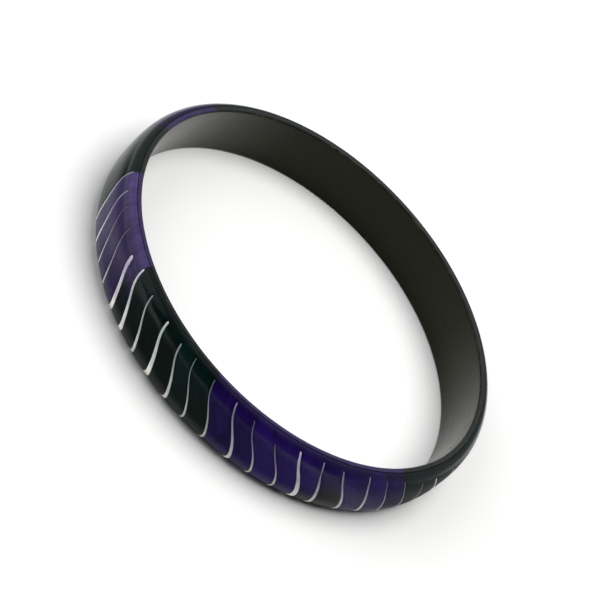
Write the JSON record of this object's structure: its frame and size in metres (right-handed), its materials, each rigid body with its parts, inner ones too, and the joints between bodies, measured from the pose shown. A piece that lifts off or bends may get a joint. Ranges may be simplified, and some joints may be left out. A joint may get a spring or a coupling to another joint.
{
  "type": "bangle bracelet",
  "caption": "Rigid closed slip-on bangle: plain dark metal core band with glossy purple and dark green fields and white wave lines on its domed outside.",
  "frame": {"origin": "centre of the ring, on its axis and at the middle of the band's width", "axes": "+Z along the ring's axis, the side the wave lines stop short of; -Y towards the middle of the best-seen stretch of the outer face; the bangle lies flat on its -Z rim"},
  "size_m": [0.0706, 0.0706, 0.01],
  "materials": {
    "core_coating": "satin black to gunmetal coating on metal, fine turning marks on the inner wall",
    "purple_field": "deep purple enamel or resin, polished to a glassy gloss",
    "green_field": "very dark blue-green enamel or resin, polished to a glassy gloss",
    "wave_white": "off-white enamel or resin, flush with the fields and polished with them"
  },
  "bodies": {
    "root": {"core_band": "core_coating", "field_1_green": "green_field", "field_2_purple": "purple_field", "field_3_green": "green_field", "field_4_purple": "purple_field", "field_5_green": "green_field", "field_6_purple": "purple_field", "wave_strip_01": "wave_white", "wave_strip_02": "wave_white", "wave_strip_03": "wave_white", "wave_strip_04": "wave_white", "wave_strip_05": "wave_white", "wave_strip_06": "wave_white", "wave_strip_07": "wave_white", "wave_strip_08": "wave_white", "wave_strip_09": "wave_white", "wave_strip_10": "wave_white", "wave_strip_11": "wave_white", "wave_strip_12": "wave_white", "wave_strip_13": "wave_white", "wave_strip_14": "wave_white", "wave_strip_15": "wave_white", "wave_strip_16": "wave_white", "wave_strip_17": "wave_white", "wave_strip_18": "wave_white", "wave_strip_19": "wave_white", "wave_strip_20": "wave_white", "wave_strip_21": "wave_white", "wave_strip_22": "wave_white", "wave_strip_23": "wave_white", "wave_strip_24": "wave_white", "wave_strip_25": "wave_white", "wave_strip_26": "wave_white", "wave_strip_27": "wave_white", "wave_strip_28": "wave_white", "wave_strip_29": "wave_white", "wave_strip_30": "wave_white", "wave_strip_31": "wave_white", "wave_strip_32": "wave_white", "wave_strip_33": "wave_white", "wave_strip_34": "wave_white", "wave_strip_35": "wave_white", "wave_strip_36": "wave_white", "wave_strip_37": "wave_white", "wave_strip_38": "wave_white", "wave_strip_39": "wave_white", "wave_strip_40": "wave_white", "wave_strip_41": "wave_white", "wave_strip_42": "wave_white", "wave_strip_43": "wave_white", "wave_strip_44": "wave_white", "wave_strip_45": "wave_white", "wave_strip_46": "wave_white", "wave_strip_47": "wave_white", "wave_strip_48": "wave_white", "wave_strip_49": "wave_white"}
  },
  "joints": []
}
